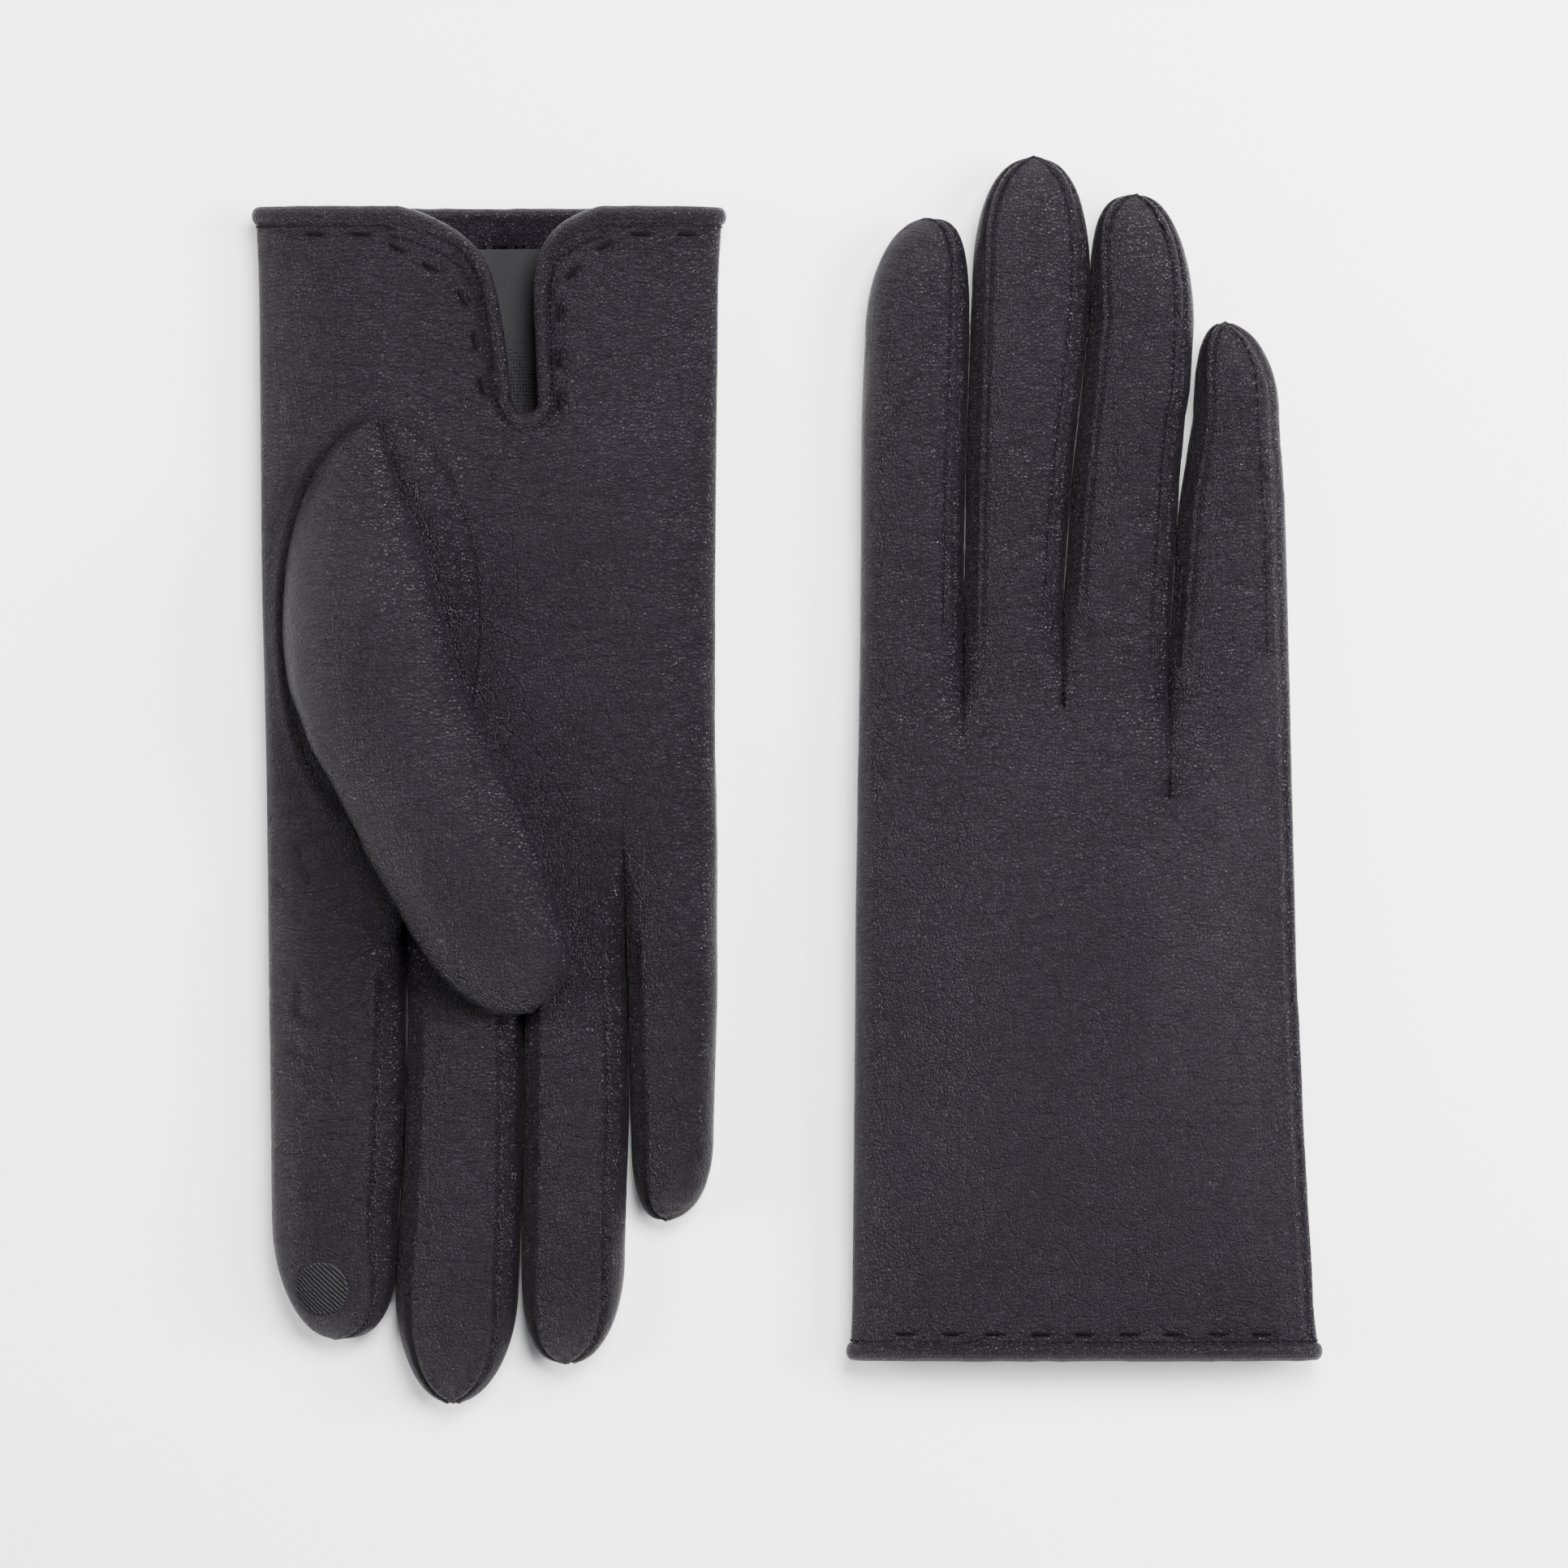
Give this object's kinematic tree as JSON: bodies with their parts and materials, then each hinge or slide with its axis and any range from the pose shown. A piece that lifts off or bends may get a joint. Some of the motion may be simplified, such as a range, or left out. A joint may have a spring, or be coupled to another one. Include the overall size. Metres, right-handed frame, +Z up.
{
  "type": "leather gloves",
  "caption": "Lined leather dress gloves laid flat, palm up and back up, with bending fingers, folding thumbs, bound vented cuffs and a touchscreen fingertip.",
  "frame": {"origin": "middle of the pair's footprint, on the surface that it lies on", "axes": "+Y from the back-up glove's cuff to its fingertips, +Z up, +X from the palm-up glove to the back-up glove"},
  "size_m": [0.2209, 0.259, 0.0202],
  "materials": {
    "leather": "smooth hair sheep leather with a fine grain and a soft sheen",
    "binding": "smooth, folded narrow",
    "thread": "matt sewing thread",
    "lining": "fine mesh knit"
  },
  "bodies": {
    "palm_up_hand": {"palm_up_hand_leather": "leather", "palm_up_finger_roots": "leather", "palm_up_thumb_base": "leather", "palm_up_thumb_quirk": "leather", "palm_up_cuff_binding": "binding", "palm_up_binding_thread": "thread", "palm_up_hem_stitching": "thread", "palm_up_hem_facing": "leather", "palm_up_hand_lining": "lining"},
    "palm_up_thumb": {"palm_up_thumb_leather": "leather", "palm_up_thumb_lining": "lining"},
    "palm_up_index": {"palm_up_index_leather": "leather", "palm_up_index_fourchette": "leather", "palm_up_index_lining": "lining", "palm_up_touch_patch": "thread"},
    "palm_up_middle": {"palm_up_middle_leather": "leather", "palm_up_middle_fourchette": "leather", "palm_up_middle_lining": "lining"},
    "palm_up_ring": {"palm_up_ring_leather": "leather", "palm_up_ring_fourchette": "leather", "palm_up_ring_lining": "lining"},
    "palm_up_little": {"palm_up_little_leather": "leather", "palm_up_little_fourchette": "leather", "palm_up_little_lining": "lining"},
    "back_up_hand": {"back_up_hand_leather": "leather", "back_up_finger_roots": "leather", "back_up_thumb_base": "leather", "back_up_thumb_quirk": "leather", "back_up_cuff_binding": "binding", "back_up_binding_thread": "thread", "back_up_hem_stitching": "thread", "back_up_hem_facing": "leather", "back_up_hand_lining": "lining"},
    "back_up_thumb": {"back_up_thumb_leather": "leather", "back_up_thumb_lining": "lining"},
    "back_up_index": {"back_up_index_leather": "leather", "back_up_index_fourchette": "leather", "back_up_index_lining": "lining", "back_up_touch_patch": "thread"},
    "back_up_middle": {"back_up_middle_leather": "leather", "back_up_middle_fourchette": "leather", "back_up_middle_lining": "lining"},
    "back_up_ring": {"back_up_ring_leather": "leather", "back_up_ring_fourchette": "leather", "back_up_ring_lining": "lining"},
    "back_up_little": {"back_up_little_leather": "leather", "back_up_little_fourchette": "leather", "back_up_little_lining": "lining"}
  },
  "joints": [
    {"name": "back_up_lift", "type": "slide", "parent": "palm_up_hand", "child": "back_up_hand", "axis": [0, 0, 1], "range_m": [0, 0.08]},
    {"name": "palm_up_index_flex", "type": "hinge", "parent": "palm_up_hand", "child": "palm_up_index", "pos_m": [-0.0939, -0.0498, 0.0112], "axis": [-1, 0, 0], "range_deg": [0, 75]},
    {"name": "palm_up_middle_flex", "type": "hinge", "parent": "palm_up_hand", "child": "palm_up_middle", "pos_m": [-0.0679, -0.0498, 0.0112], "axis": [-1, 0, 0], "range_deg": [0, 75]},
    {"name": "palm_up_ring_flex", "type": "hinge", "parent": "palm_up_hand", "child": "palm_up_ring", "pos_m": [-0.0444, -0.0498, 0.0112], "axis": [-1, 0, 0], "range_deg": [0, 75]},
    {"name": "palm_up_little_flex", "type": "hinge", "parent": "palm_up_hand", "child": "palm_up_little", "pos_m": [-0.0239, -0.0498, 0.0112], "axis": [-1, 0, 0], "range_deg": [0, 75]},
    {"name": "back_up_index_raise", "type": "hinge", "parent": "back_up_hand", "child": "back_up_index", "pos_m": [0.0259, 0.0428, 0.01165], "axis": [1, 0, 0], "range_deg": [0, 45]},
    {"name": "back_up_middle_raise", "type": "hinge", "parent": "back_up_hand", "child": "back_up_middle", "pos_m": [0.0479, 0.0428, 0.01165], "axis": [1, 0, 0], "range_deg": [0, 45]},
    {"name": "back_up_ring_raise", "type": "hinge", "parent": "back_up_hand", "child": "back_up_ring", "pos_m": [0.0689, 0.0428, 0.01165], "axis": [1, 0, 0], "range_deg": [0, 45]},
    {"name": "back_up_little_raise", "type": "hinge", "parent": "back_up_hand", "child": "back_up_little", "pos_m": [0.0929, 0.0428, 0.01165], "axis": [1, 0, 0], "range_deg": [0, 45]},
    {"name": "palm_up_thumb_open", "type": "hinge", "parent": "palm_up_hand", "child": "palm_up_thumb", "pos_m": [-0.1033, 0.0397, 0.0113], "axis": [0, -1, 0], "range_deg": [0, 75]},
    {"name": "back_up_thumb_open", "type": "hinge", "parent": "back_up_hand", "child": "back_up_thumb", "pos_m": [0.0205, -0.0497, 0.00835], "axis": [0, 1, 0], "range_deg": [0, 60]}
  ]
}
